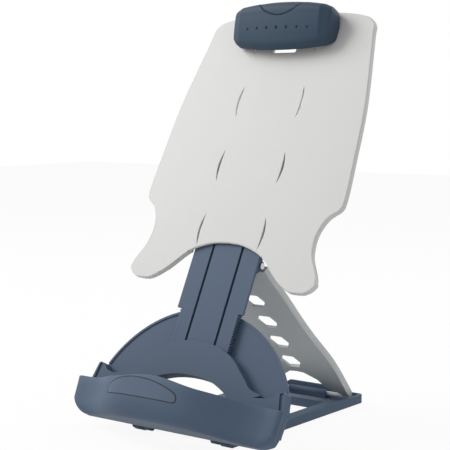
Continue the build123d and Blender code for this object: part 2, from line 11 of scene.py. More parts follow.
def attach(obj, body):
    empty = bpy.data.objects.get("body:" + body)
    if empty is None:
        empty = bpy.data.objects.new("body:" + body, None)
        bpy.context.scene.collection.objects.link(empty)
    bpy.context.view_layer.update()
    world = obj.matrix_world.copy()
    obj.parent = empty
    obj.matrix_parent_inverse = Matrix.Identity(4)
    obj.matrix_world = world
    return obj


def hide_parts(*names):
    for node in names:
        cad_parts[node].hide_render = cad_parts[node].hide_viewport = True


bl_info = {
    "name": "Document holder",
    "version": (1, 0, 0),
    "blender": (4, 5, 0),
    "location": "3D View > Sidebar > Document holder",
    "description": "Moulded skins, plastic finishes and stage for a leaning document holder",
    "category": "Object",
}

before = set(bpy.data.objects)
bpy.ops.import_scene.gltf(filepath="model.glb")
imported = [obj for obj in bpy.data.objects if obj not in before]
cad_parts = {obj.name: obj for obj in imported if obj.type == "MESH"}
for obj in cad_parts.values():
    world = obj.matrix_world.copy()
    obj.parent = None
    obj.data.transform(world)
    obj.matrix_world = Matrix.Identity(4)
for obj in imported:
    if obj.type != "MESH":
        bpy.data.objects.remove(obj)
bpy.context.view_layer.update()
MM = 0.001
MERGE, SLIVER = 1e-6, 1e-7  # in metres: how near doubles lie, and how thin a sliver is

# Places on the stand in millimetres: x to the right, s up the leaning face, d in front of it.
LEAN = radians(27.0)
STAND_Y = -110.39

# Board: right half of its outline in (x, s), from the arch over the neck out and up to its top
BOARD_TOP = ((0, 462.0), (56, 460.2))
SHOULDER = ((99.4, 445.5), (93.5, 452.2), (82.0, 456.4))
EDGE = ((120.4, 253.0), (118.3, 304.0), (114.4, 354.6), (100.6, 437.0))
NOTCH = (
    (112.0, 175.8), (103.2, 193.0), (99.8, 208.0), (100.4, 222.0), (107.2, 237.0), (118.6, 247.0),
)
CORNER = ((102, 160.9), (108.5, 164.2), (113.6, 170.6))
CREST = (
    (0, 103.0), (18, 101.4), (39, 94.3), (51, 86.4), (60, 77.8), (68.2, 70.2), (77, 63.8),
    (86, 59.6), (94, 59.0),
)
CREST_TO_BOARD = 101.5
BOARD_MIDDLE_S = 310.0
BOARD_SHEET, BOARD_RIM_DEPTH, BOARD_RIM_WIDTH, BOARD_SETBACK = 3.0, 6.5, 3.2, 0.02
BOARD_SHARP = 5.0  # degrees
BEFORE_NECK = (45.0, 215.0)  # within this |x| and below this s the skirt is as thin as the sheet
SLIT_X, SLIT_HEIGHT, SLIT_WIDTH, SLIT_INNER_BOW = 40.3, 34.0, 3.4, 0.28
SLIT_S = (431.0, 359.4, 287.0, 216.6)
CATCH = (14.0, 415.5, 424.5)  # window under the clip: half width, lower and upper s

# Neck, with a toothed strip down each edge
NECK_FRONT, NECK_BACK, RACK_BACK = -3.5, -6.5, -10.0
RACK_INNER, RACK_ROOT, RACK_TIP = 31.5, 34.7, 35.9
RACK_LOW, RACK_SHOULDER, RACK_HIGH = 80.0, 134.8, 304.0
RACK_OVERLAP, TOOTH_SINK = 0.4, 0.3
TOOTH_PITCH = 2.6
TOOTH_FOOT, TOOTH_CROWN = 0.44, 0.14  # half widths, in pitches

# Screws: body, head radius, head and tip in d, and each row's half spacing and s
SCREWS = {
    "neck_screws": ("stand", 3.0, -13.0, -4.5, ((24.5, 88), (24.5, 122))),
    "cover_screws": ("stand", 3.0, -13.0, -2.2, ((84, 40), (72, 57))),
    "bracket_screws": ("stand", 3.0, -13.0, -4.5, ((25, 181), (25, 199))),
    "guide_screws": ("slider", 2.6, -10.0, -1.2, ((50, 250), (50, 294))),
}
SCREW_HEAD, SCREW_SEAT, SCREW_OVERLAP, SCREW_SHANK = 1.6, 0.9, 0.2, 1.25
CROSS_ARM, CROSS_HALF = 0.66, 0.4  # an arm's length in head radii, and its half width

# Tray. Right half of its plan: x and d of the lip, x and d where its belly meets the underside,
# and the height of the belly's round
TRAY_HALF, TRAY_CORNER, TRAY_LOW_S, TRAY_WALL = 124.5, 22.0, 12.0, 3.0
TRAY_PLAN = (
    (0, 51.0, 0, 34.0, 22), (21, 50.4, 21, 33.5, 22), (42, 47.1, 42, 30.0, 21),
    (62, 37.9, 61, 23.0, 19), (77, 28.1, 75, 16.0, 16), (92, 19.3, 89, 10.0, 13),
    (107, 14.4, 99, 7.5, 10), (116, 13.6, 103, 6.6, 7), (121.5, 12.9, 104.5, 5.8, 4),
    (123.9, 11.0, 105, 5.0, 2), (124.2, 9.0, 104.6, 4.2, 0), (122, 5.5, 103.6, 2.6, 0),
    (118.4, 0, 102.5, 0, 0), (118.2, -5, 102.4, -5, 0), (117.6, -9.9, 102.2, -9.9, 0),
)
LIP_TOP_S, LIP_CROWN, LIP_CROWN_HALF = 48.0, 5.0, 52.0
BELLY_LEAN, FLOOR_RISE = 1.4, 1.9
RIM_SIDES = ((8.0, 0.6), (1.3, 0.0))  # drop below the lip's top and reach inwards
RIM_DROP, RIM_REACH = 0.4, 0.45

# Badge. Crest of its half moon: height at each share of its length
BADGE_LEFT, BADGE_LOW, BADGE_LENGTH, BADGE_HEIGHT = -55.5, 31.5, 88.0, 17.0
BADGE_CORNER, BADGE_SINK = 3.0, 0.4
BADGE_COLUMNS, BADGE_ROWS = 64, 8
# Painted shade of the groove round the badge: a black rubber ring, this much wider than the badge
# and standing this far out of the lip
GROOVE_SHADE_WIDTH, GROOVE_SHADE_RISE = 0.95, 0.12
MOON_CREST = (
    (0, 0.2), (0.015, 0.42), (0.05, 0.56), (0.1, 0.67), (0.18, 0.81), (0.27, 0.92), (0.37, 0.985),
    (0.46, 1.0), (0.56, 0.98), (0.66, 0.92), (0.78, 0.79), (0.88, 0.64), (0.95, 0.5),
    (0.985, 0.38), (1, 0.2),
)

# Clip. Its front and back on its middle line, as s and d
CLIP_HALF, CLIP_LOW_S, CLIP_TOP_S, CLIP_CORNER, CLIP_WALL = 59.8, 414.0, 464.0, 8.0, 2.4
CLIP_LOW_BOW, CLIP_TOP_BOW, CLIP_ROUND = 6.5, 6.0, 3.0
CLIP_COLUMNS, CLIP_ROWS = 260, 110
CLIP_NOSE = (
    (411, 11.0), (416, 17.5), (424, 21.5), (431, 24.2), (444, 28.2), (453, 30.0), (459, 27.0),
    (463, 19.0), (465.5, 8.5),
)
CLIP_BACK = ((411, 10.0), (427, 0.6), (441, 0.6), (449, 4.1), (466, 5.8))
FACET_X, FACET_WIDTH, FACET_FALL, DOME_FALL = 49.0, 11.0, 0.2, 0.08
HOLLOW_REACH, HOLLOW_GAP = 0.97, 1.8
SCOOP_S, SCOOP_RADIUS, SCOOP_DEPTH, SCOOP_STEP = 477.3, 33.3, 0.5, 0.6
SCOOP_GROOVE, SCOOP_GROOVE_HALF, SCOOP_GROOVE_SPREAD = 1.5, 0.75, 0.9
DIMPLES_S, DIMPLE_PITCH, DIMPLE_DEPTH = 431.5, 12.3, 1.6
DIMPLE_RADII = (1.0, 1.25, 1.5, 1.7, 1.5, 1.25, 1.0)

# Stage. Lamps: turn and rise in degrees, distance and size in metres, and watts
VIEW_TARGET = Vector((0, -0.02124, 0.2001))
SENSOR_WIDTH, FOCAL_LENGTH = 36.0, 102.58
DESK_HALF, DESK_WHITE, SKY_STRENGTH = 4.0, 0.92, 0.45
LAMPS = {
    "key": (-64, 38, 2.6, 1.5, 50.0),
    "fill": (75, 22, 1.9, 1.2, 2.5),
    "rim": (160, 35, 1.7, 0.8, 6.0),
}

# Which finish each of the frame's nodes takes
FINISHES = {
    "board_grey": ("board",),
    "slate": (
        "base_frame", "neck_plate", "rack_right", "rack_left", "back_plate", "crescent_cover",
        "tray", "clip_base", "clip_cover",
    ),
    "strut_grey": ("strut", "foot_rod"),
    "dark_grey": ("guide_right", "guide_left", "strut_bracket", "slot_posts"),
    "rubber": ("foot_pads", "clip_pad"),
    "steel": (
        "neck_screws", "cover_screws", "bracket_screws", "guide_screws", "strut_pin",
        "hinge_pins", "detent_springs", "clip_pin", "clip_spring",
    ),
    "badge": ("badge_plate",),
}

# Each plastic's colour setting, strength of grain and inputs
PLASTICS = {
    "board_grey": ("board", 0.10, {"Roughness": 0.42, "Flow": 0.02}),
    "slate": ("slate", 0.16, {"Roughness": 0.48, "Specular IOR Level": 0.18, "Flow": 0.05}),
    "deep_slate": ("deep", 0.16, {"Roughness": 0.46, "Specular IOR Level": 0.2, "Flow": 0.05}),
    "strut_grey": ("strut", 0.12, {"Roughness": 0.42, "Flow": 0.03}),
    "dark_grey": ("dark", 0.18, {"Roughness": 0.48, "Specular IOR Level": 0.2, "Flow": 0.06}),
    "rubber": ("rubber", 0.35, {"Roughness": 0.72, "Grain size": 900.0, "Flow": 0.1}),
    "badge": (
        "slate", 0.05,
        {"Roughness": 0.42, "Specular IOR Level": 0.25, "Grain size": 2200.0, "Flow": 0.02},
    ),
}
GRAIN_DEPTH = 0.2 * MM


class HolderSizes(bpy.types.PropertyGroup):
    """Sizes that change the look and not the frame"""

    edge_round: FloatProperty(
        name="Edge rounding",
        description="Radius on the board's front and back edges",
        default=1.3 * MM,
        unit="LENGTH",
    )
    trim_round: FloatProperty(
        name="Trim rounding",
        description="Radius on the carried-over pieces' edges",
        default=0.35 * MM,
        unit="LENGTH",
    )
    badge_rise: FloatProperty(
        name="Badge rise",
        description="How far the badge stands out of the lip",
        default=0.35 * MM,
        unit="LENGTH",
    )
    view_turn: FloatProperty(
        name="View turn",
        description="Camera's angle round the holder",
        default=radians(37.56),
        subtype="ANGLE",
    )
    view_rise: FloatProperty(
        name="View rise",
        description="Camera's angle above the desk",
        default=radians(5.498),
        subtype="ANGLE",
    )
    view_distance: FloatProperty(
        name="View distance",
        description="Camera's distance from its target",
        default=1.2539,
        unit="LENGTH",
    )


class HolderColours(bpy.types.PropertyGroup):
    """Colours of the moulded plastics, the steel and the floor"""

    board: FloatVectorProperty(
        name="Board",
        description="Pale grey of the board",
        default=(0.585, 0.583, 0.57),
        subtype="COLOR",
        size=3,
    )
    slate: FloatVectorProperty(
        name="Slate",
        description="Blue-grey of neck, cover and tray",
        default=(0.078, 0.113, 0.17),
        subtype="COLOR",
        size=3,
    )
    deep: FloatVectorProperty(
        name="Deep slate",
        description="Darker blue-grey of the clip",
        default=(0.036, 0.062, 0.097),
        subtype="COLOR",
        size=3,
    )
    strut: FloatVectorProperty(
        name="Strut",
        description="Light grey of the folding strut",
        default=(0.49, 0.515, 0.515),
        subtype="COLOR",
        size=3,
    )
    dark: FloatVectorProperty(
        name="Dark grey",
        description="Dark plastic of the guides and the strut's bracket",
        default=(0.047, 0.078, 0.115),
        subtype="COLOR",
        size=3,
    )
    # This black also paints the shade of the groove round the badge
    rubber: FloatVectorProperty(
        name="Rubber",
        description="Black rubber of the feet and clip pad",
        default=(0.022, 0.022, 0.024),
        subtype="COLOR",
        size=3,
    )
    steel: FloatVectorProperty(
        name="Steel",
        description="Plated steel of pins and screws",
        default=(0.56, 0.57, 0.58),
        subtype="COLOR",
        size=3,
    )
    floor: FloatVectorProperty(
        name="Floor",
        description="Pale desk under the holder",
        default=(0.9, 0.9, 0.9),
        subtype="COLOR",
        size=3,
    )


def sizes():
    """The size settings of the scene."""
    return bpy.context.scene.holder_sizes


def colours():
    """The colour settings of the scene."""
    return bpy.context.scene.holder_colours


# Places and meshes


def on_stand(x, s, d):
    """A place on the leaning stand, in the frame's metres."""
    y = STAND_Y + s * sin(LEAN) - d * cos(LEAN)
    return Vector((x, y, s * cos(LEAN) + d * sin(LEAN))) * MM


STAND_MATRIX = Matrix(
    (
        (1, 0, 0, 0),
        (0, sin(LEAN), -cos(LEAN), STAND_Y * MM),
        (0, cos(LEAN), sin(LEAN), 0),
        (0, 0, 0, 1),
    )
)


def smooth_row(points, steps=8):
    """A curve through every point, with steady speed between them."""
    ends = [points[0]] + list(points) + [points[-1]]
    row = []
    for places in zip(ends, ends[1:], ends[2:], ends[3:]):
        pairs = zip(places, places[1:])
        gaps = [max(hypot(b[0] - a[0], b[1] - a[1]), 1e-6) ** 0.5 for a, b in pairs]
        row += [catmull(places, gaps, step / steps) for step in range(steps)]
    return row + [points[-1]]


def catmull(places, gaps, share):
    """One place on the centripetal curve between the second and third of four places."""
    place = []
    for a, b, c, d in zip(*places):
        straight = (c - b) / gaps[1]
        slope_in = straight if gaps[0] < 1e-2 else slope(a, b, c, gaps[0], gaps[1])
        slope_out = straight if gaps[2] < 1e-2 else slope(b, c, d, gaps[1], gaps[2])
        slope_in, slope_out = slope_in * gaps[1], slope_out * gaps[1]
        cubic = 2 * b - 2 * c + slope_in + slope_out
        square = -3 * b + 3 * c - 2 * slope_in - slope_out
        place.append(cubic * share**3 + square * share**2 + slope_in * share + b)
    return tuple(place)


def slope(a, b, c, gap_before, gap_after):
    """Slope at the middle one of three values, from the gaps on both sides of it."""
    return (b - a) / gap_before - (c - a) / (gap_before + gap_after) + (c - b) / gap_after


def smooth_rows(half, steps=6):
    """The tray's half plan, smoothed and mirrored to a row from its left end to its right."""
    fine = smooth_row(half, steps)
    left = [(-x, d, -foot_x, foot_d, high) for x, d, foot_x, foot_d, high in reversed(fine[1:])]
    return left + fine


def on_row(row, first):
    """Second value of a rising row of pairs at a first value, held beyond both ends."""
    if first <= row[0][0]:
        return row[0][1]
    for (x0, y0), (x1, y1) in zip(row, row[1:]):
        if first <= x1:
            return y0 + (y1 - y0) * (first - x0) / (x1 - x0)
    return row[-1][1]


def round_drop(radius, beyond):
    """How far a round of a radius has fallen away at a distance beyond its start."""
    return radius - (radius * radius - beyond * beyond) ** 0.5


def add_object(name, data):
    """A new object for a mesh, curve, lamp or camera, linked to the scene."""
    thing = bpy.data.objects.new(name, data)
    bpy.context.scene.collection.objects.link(thing)
    return thing


def clean(mesh, slivers=False):
    """Merge a mesh's doubles, dissolve its slivers if asked, and turn its faces outwards."""
    work = bmesh.new()
    work.from_mesh(mesh)
    bmesh.ops.remove_doubles(work, verts=work.verts, dist=MERGE)
    if slivers:
        bmesh.ops.dissolve_degenerate(work, edges=work.edges, dist=SLIVER)
    bmesh.ops.recalc_face_normals(work, faces=work.faces)
    work.to_mesh(mesh)
    work.free()


def solid_mesh(name, places, faces):
    """A closed mesh with merged doubles and outward normals."""
    mesh = bpy.data.meshes.new(name)
    mesh.from_pydata(places, [], faces)
    clean(mesh, slivers=True)
    return mesh


def smooth(mesh, angle=35.0):
    """Smooth shading with sharp edges above an angle."""
    mesh.shade_smooth()
    mesh.set_sharp_from_angle(angle=radians(angle))


def cut_sheet(name, rings, low, high, bevel):
    """A flat sheet of closed rings in (x, s), from d low to high, with rounded edges."""
    sheet = bpy.data.curves.new(name, "CURVE")
    sheet.dimensions = "2D"
    sheet.fill_mode = "BOTH"
    for ring in rings:
        spline = sheet.splines.new("POLY")
        spline.points.add(len(ring) - 1)
        for point, (x, s) in zip(spline.points, ring):
            point.co = (x * MM, s * MM, 0, 1)
        spline.use_cyclic_u = True
    sheet.extrude = (high - low) * MM / 2 - bevel
    sheet.bevel_depth = bevel
    sheet.bevel_resolution = 3
    sheet.offset = -bevel
    holder = add_object(name, sheet)
    graph = bpy.context.evaluated_depsgraph_get()
    mesh = bpy.data.meshes.new_from_object(holder.evaluated_get(graph))
    bpy.data.objects.remove(holder)
    bpy.data.curves.remove(sheet)
    mesh.transform(STAND_MATRIX @ Matrix.Translation((0, 0, (low + high) * MM / 2)))
    clean(mesh)
    smooth(mesh)
    return mesh


def joined(name, meshes, angle=35.0):
    """One mesh made of several, with sharp edges above an angle."""
    whole = bmesh.new()
    for mesh in meshes:
        whole.from_mesh(mesh)
        bpy.data.meshes.remove(mesh)
    mesh = bpy.data.meshes.new(name)
    whole.to_mesh(mesh)
    whole.free()
    smooth(mesh, angle)
    return mesh


def paint(piece, material):
    """Give a piece one material and no other."""
    piece.data.materials.clear()
    piece.data.materials.append(bpy.data.materials[material])


def finish_piece(piece, body, slot, *nodes, material=None):
    """Give a finished piece its material (the slot's, unless another is named) and body, and hide
    the nodes that it stands for.
    """
    paint(piece, material or slot)
    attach(piece, body)
    if nodes:
        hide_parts(*nodes)


# Shader node groups


def node(tree, kind, **values):
    """A node with its settings and its unlinked inputs."""
    made = tree.nodes.new(kind)
    for key, value in values.items():
        if key in made.bl_rna.properties:
            setattr(made, key, value)
        else:
            made.inputs[key.replace("_", " ")].default_value = value
    return made


def new_group(name, inputs, outputs):
    """A shader group with named sockets: (name, kind, default), and (name, kind)."""
    group = bpy.data.node_groups.new(name, "ShaderNodeTree")
    for label, kind, default in inputs:
        socket = group.interface.new_socket(label, in_out="INPUT", socket_type=kind)
        socket.default_value = default
    for label, kind in outputs:
        group.interface.new_socket(label, in_out="OUTPUT", socket_type=kind)
    return group, group.nodes.new("NodeGroupInput"), group.nodes.new("NodeGroupOutput")


EFFECT_OUTPUTS = (
    ("Colour", "NodeSocketColor"),
    ("Roughness", "NodeSocketFloat"),
    ("Height", "NodeSocketFloat"),
)


def vary_roughness(group, given, result, pattern, amount):
    """Add a share of a pattern to the group's roughness, and give the pattern as its height."""
    rough = node(group, "ShaderNodeMath", operation="MULTIPLY_ADD")
    rough.inputs[1].default_value = amount
    group.links.new(pattern.outputs["Fac"], rough.inputs[0])
    group.links.new(given.outputs["Roughness"], rough.inputs[2])
    group.links.new(rough.outputs["Value"], result.inputs["Roughness"])
    group.links.new(pattern.outputs["Fac"], result.inputs["Height"])


def moulded_group():
    """Moulded plastic: fine spark-eroded grain and slight flow marks in the colour."""
    inputs = [
        ("Colour", "NodeSocketColor", (0.5, 0.5, 0.5, 1)),
        ("Roughness", "NodeSocketFloat", 0.5),
        ("Grain size", "NodeSocketFloat", 1400.0),
        ("Flow", "NodeSocketFloat", 0.05),
    ]
    group, given, result = new_group("moulded_plastic", inputs, EFFECT_OUTPUTS)
    link = group.links.new
    place = node(group, "ShaderNodeTexCoord")
    grain = node(group, "ShaderNodeTexNoise", Detail=4.0, Roughness=0.65)
    flow = node(group, "ShaderNodeTexNoise", Scale=14.0, Detail=3.0, Distortion=0.6)
    link(place.outputs["Object"], grain.inputs["Vector"])
    link(given.outputs["Grain size"], grain.inputs["Scale"])
    link(place.outputs["Object"], flow.inputs["Vector"])
    shift = node(group, "ShaderNodeMapRange")
    shift.inputs["To Min"].default_value = -1.0
    link(flow.outputs["Fac"], shift.inputs["Value"])
    amount = node(group, "ShaderNodeMath", operation="MULTIPLY_ADD")
    amount.inputs[2].default_value = 1.0
    link(shift.outputs["Result"], amount.inputs[0])
    link(given.outputs["Flow"], amount.inputs[1])
    tone = node(group, "ShaderNodeVectorMath", operation="SCALE")
    link(given.outputs["Colour"], tone.inputs[0])
    link(amount.outputs["Value"], tone.inputs["Scale"])
    link(tone.outputs["Vector"], result.inputs["Colour"])
    vary_roughness(group, given, result, grain, 0.12)
    return group


def brushed_group():
    """Drawn steel: fine lines along x and small changes of shine."""
    inputs = [
        ("Colour", "NodeSocketColor", (0.5, 0.5, 0.5, 1)),
        ("Roughness", "NodeSocketFloat", 0.3),
    ]
    group, given, result = new_group("drawn_steel", inputs, EFFECT_OUTPUTS)
    link = group.links.new
    place = node(group, "ShaderNodeTexCoord")
    drawn = node(group, "ShaderNodeMapping")
    drawn.inputs["Scale"].default_value = (60.0, 2600.0, 2600.0)
    lines = node(group, "ShaderNodeTexNoise", Scale=1.0, Detail=3.0)
    link(place.outputs["Object"], drawn.inputs["Vector"])
    link(drawn.outputs["Vector"], lines.inputs["Vector"])
    tone = node(group, "ShaderNodeMapRange")
    tone.inputs["To Min"].default_value = 0.85
    tone.inputs["To Max"].default_value = 1.08
    link(lines.outputs["Fac"], tone.inputs["Value"])
    shade = node(group, "ShaderNodeVectorMath", operation="SCALE")
    link(given.outputs["Colour"], shade.inputs[0])
    link(tone.outputs["Result"], shade.inputs["Scale"])
    link(shade.outputs["Vector"], result.inputs["Colour"])
    vary_roughness(group, given, result, lines, 0.2)
    return group


def dressed_material(slot, group, colour, bump, values):
    """A material for one slot: an effect group feeding a plain Principled shader."""
    plain = bpy.data.materials.get(slot)
    if plain:  # the frame's own material gives up the name
        plain.name = "cad_" + slot
    material = bpy.data.materials.new(slot)
    material.use_nodes = True
    tree = material.node_tree
    shader = tree.nodes["Principled BSDF"]
    effect = tree.nodes.new("ShaderNodeGroup")
    effect.node_tree = group
    effect.inputs["Colour"].default_value = (*colour, 1)
    for label, value in values.items():
        target = effect if label in effect.inputs else shader
        target.inputs[label].default_value = value
    raised = node(tree, "ShaderNodeBump", Strength=bump, Distance=GRAIN_DEPTH)
    tree.links.new(effect.outputs["Height"], raised.inputs["Height"])
    tree.links.new(effect.outputs["Colour"], shader.inputs["Base Color"])
    tree.links.new(effect.outputs["Roughness"], shader.inputs["Roughness"])
    tree.links.new(raised.outputs["Normal"], shader.inputs["Normal"])


class HOLDER_OT_finishes(bpy.types.Operator):
    """Make the plastics, rubber and steel, and put them on the frame's nodes"""

    bl_idname = "holder.finishes"
    bl_label = "Finishes"

    def execute(self, context):
        tint = colours()
        plastic, drawn = moulded_group(), brushed_group()
        for slot, (colour, bump, values) in PLASTICS.items():
            dressed_material(slot, plastic, getattr(tint, colour), bump, values)
        dressed_material("steel", drawn, tint.steel, 0.08, {"Roughness": 0.22, "Metallic": 1.0})
        for slot, names in FINISHES.items():
            for name in names:
                self.dress(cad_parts[name], slot)
        return {"FINISHED"}

    def dress(self, piece, slot):
        """Put a slot's material on a node and round its edges a little."""
        paint(piece, slot)
        weld = piece.modifiers.new("weld", "WELD")
        weld.merge_threshold = 0.01 * MM
        flat = piece.modifiers.new("flat", "DECIMATE")
        flat.decimate_type = "DISSOLVE"
        flat.angle_limit = radians(0.5)
        bevel = piece.modifiers.new("round", "BEVEL")
        bevel.width = sizes().trim_round
        bevel.segments = 2
        bevel.limit_method = "ANGLE"
        bevel.angle_limit = radians(40)
        bevel.harden_normals = True


# Board


def board_outline():
    """Outline of the board in (x, s), once round from the middle of its top."""
    right = smooth_row([*BOARD_TOP, *reversed(SHOULDER), EDGE[-1]], 6)[:-1]
    right += list(reversed(smooth_row([*CORNER, *NOTCH, *EDGE], 8)))[:-1]
    low = [(x, s + CREST_TO_BOARD) for x, s in CREST]
    right += list(reversed(smooth_row(low + [CORNER[0]], 8)))
    return right + [(-x, s) for x, s in reversed(right[1:-1])]


def slit_outline(side, middle, steps=14):
    """A crescent slit that bows towards the edge of the board."""
    half, inner = SLIT_HEIGHT / 2, SLIT_X - SLIT_WIDTH
    row = []
    for k in range(2 * steps):
        rising = k <= steps
        share = (k if rising else 2 * steps - k) / steps
        s = -half + 2 * half * share
        bow = SLIT_WIDTH * (1 - (s / half) ** 2)
        row.append((side * (inner + (bow if rising else SLIT_INNER_BOW * bow)), middle + s))
    return row if side > 0 else list(reversed(row))


def rounded_box(half, low, high, radius=2.0, steps=4):
    """A rectangle in (x, s) with round corners."""
    right, top, bottom = half - radius, high - radius, low + radius
    row = []
    for quarter, (x, s) in enumerate(
        ((right, top), (-right, top), (-right, bottom), (right, bottom))
    ):
        for k in range(steps + 1):
            turn = radians(90 * quarter + 90 * k / steps)
            row.append((x + radius * cos(turn), s + radius * sin(turn)))
    return row


class HOLDER_OT_board(bpy.types.Operator):
    """Make the board: a sheet with crescent slits and the window under the clip, and a skirt"""

    bl_idname = "holder.board"
    bl_label = "Board"

    def execute(self, context):
        outline = board_outline()
        cuts = [slit_outline(side, s) for side in (-1, 1) for s in SLIT_S]
        cuts.append(rounded_box(*CATCH))
        inside = self.shrunk(outline, 0.6 * BOARD_RIM_WIDTH)
        rings = [inside] + cuts
        parts = [cut_sheet("board_sheet", rings, -BOARD_SHEET, -BOARD_SETBACK, 0.25 * MM)]
        inner = self.shrunk(outline, BOARD_RIM_WIDTH)
        half, top = BEFORE_NECK
        before_neck = [k for k, (x, s) in enumerate(outline) if abs(x) < half and s < top]
        first, last = before_neck[0], before_neck[-1]
        around = list(range(last, len(outline))) + list(range(first + 1))
        across = list(range(first - 2, last + 3))
        for steps, depth in ((around, BOARD_RIM_DEPTH), (across, BOARD_SHEET)):
            ring = [outline[k] for k in steps] + [inner[k] for k in reversed(steps)]
            parts.append(cut_sheet("board_skirt", [ring], -depth, 0, sizes().edge_round))
        board = add_object("board_skin", joined("board_skin", parts, BOARD_SHARP))
        finish_piece(board, "slider", "board_grey", "board")
        return {"FINISHED"}

    def shrunk(self, outline, inset):
        """The outline drawn in by an inset, about the board's middle."""
        factor = 1 - inset / EDGE[0][0]
        middle = BOARD_MIDDLE_S
        return [(x * factor, middle + (s - middle) * factor) for x, s in outline]


# Tray


TRAY_PLAN_FINE = smooth_rows(TRAY_PLAN)


def between(rows, share):
    """One place on a row of places, at a share of its steps."""
    place = min(max(share, 0.0), 1.0) * (len(rows) - 1)
    index = min(int(place), len(rows) - 2)
    return [a + (b - a) * (place - index) for a, b in zip(rows[index], rows[index + 1])]


def lip_top(x):
    """Height of the tray's lip, with its crown in the middle."""
    share = min(abs(x) / LIP_CROWN_HALF, 1.0)
    return LIP_TOP_S + LIP_CROWN * (1 - share * share * (3 - 2 * share))


def tray_low(x, inset):
    """Height of the tray's underside, turned up at the ends, for its outer face or its hollow."""
    radius = TRAY_CORNER - inset
    beyond = min(max(abs(x) - TRAY_HALF + TRAY_CORNER, 0.0), radius)
    return TRAY_LOW_S + inset + round_drop(radius, beyond)


def tray_section(share, steps=9):
    """Places round the tray's wall at a share of its plan: up its outside and down its inside."""
    x, d, foot_x, foot_d, round_height = between(TRAY_PLAN_FINE, share)
    length = max(hypot(foot_x - x, foot_d - d), 1e-6)
    inward = ((foot_x - x) / length, (foot_d - d) / length)
    top = lip_top(x)
    floor = TRAY_LOW_S + FLOOR_RISE * max(-d, 0.0)

    def wall_place(reach, height):
        return x + inward[0] * reach, height, d + inward[1] * reach

    outer = [(foot_x, floor, min(d, 0.0))]
    inner = [(foot_x, floor + TRAY_WALL, min(d, 0.0))]
    for row, inset in ((outer, 0.0), (inner, TRAY_WALL)):
        lean = inset + BELLY_LEAN
        for k in range(steps, -1, -1):
            turn = pi / 2 * k / steps
            place = wall_place(lean + (length - lean) * (1 - cos(turn)), 0.0)
            rise = max(round_height - inset, 0.0) * (1 - sin(turn))
            height = max(tray_low(place[0], inset) + rise, floor + inset)
            row.append((place[0], height, place[2]))
        row += [wall_place(inset + reach, top - drop) for drop, reach in RIM_SIDES]
    outer.append(wall_place(RIM_REACH, top - RIM_DROP))
    outer.append(wall_place(TRAY_WALL / 2, top))
    outer.append(wall_place(TRAY_WALL - RIM_REACH, top - RIM_DROP))
    return outer + list(reversed(inner))


def face_depth(index, s):
    """How far the lip's front face stands out at a height on one section of the tray."""
    section = tray_section(index / (len(TRAY_PLAN_FINE) - 1))
    face = section[1 : len(section) // 2]
    for low, high in zip(face, face[1:]):
        if low[1] <= s <= high[1] and high[1] > low[1]:
            return low[2] + (high[2] - low[2]) * (s - low[1]) / (high[1] - low[1])
    return face[-1][2]


def lip_depth(x, s):
    """How far the lip's front face stands out at a place in front view."""
    for index, (before, after) in enumerate(zip(TRAY_PLAN_FINE, TRAY_PLAN_FINE[1:])):
        if before[0] <= x <= after[0] and abs(x) < TRAY_HALF - TRAY_CORNER:
            share = (x - before[0]) / (after[0] - before[0])
            return face_depth(index, s) * (1 - share) + face_depth(index + 1, s) * share
    raise ValueError("place beyond the lip's front")


def skin_of_loops(name, loops):
    """A closed skin through like loops of places in the frame's metres."""
    count = len(loops[0])
    faces = []
    for i in range(len(loops) - 1):
        for k in range(count):
            after = (k + 1) % count
            here, beyond = i * count, (i + 1) * count
            faces.append((here + k, beyond + k, beyond + after, here + after))
    last = (len(loops) - 1) * count
    faces.append(tuple(range(count)))
    faces.append(tuple(last + k for k in reversed(range(count))))
    mesh = solid_mesh(name, [place for loop in loops for place in loop], faces)
    smooth(mesh)
    return mesh


class HOLDER_OT_tray(bpy.types.Operator):
    """Make the tray: a trough with a bulging lip, a rolled rim and turned-up ends"""

    bl_idname = "holder.tray"
    bl_label = "Tray"

    def execute(self, context):
        last = len(TRAY_PLAN_FINE) - 1
        loops = [[on_stand(*place) for place in tray_section(k / last)] for k in range(last + 1)]
        tray = add_object("tray_skin", skin_of_loops("tray_skin", loops))
        finish_piece(tray, "stand", "slate", "tray")
        return {"FINISHED"}


def moon_span(x, grow):
    """Lowest and highest s at x of the badge's half moon, drawn out by grow."""
    length = BADGE_LENGTH + 2 * grow
    share = (x - BADGE_LEFT + grow) / length
    end = min(share, 1 - share) * length
    low = BADGE_LOW - grow
    if end <= BADGE_CORNER:
        low += round_drop(BADGE_CORNER, BADGE_CORNER - end)
    return low, max(BADGE_LOW + on_row(MOON_CREST, share) * BADGE_HEIGHT + grow, low)


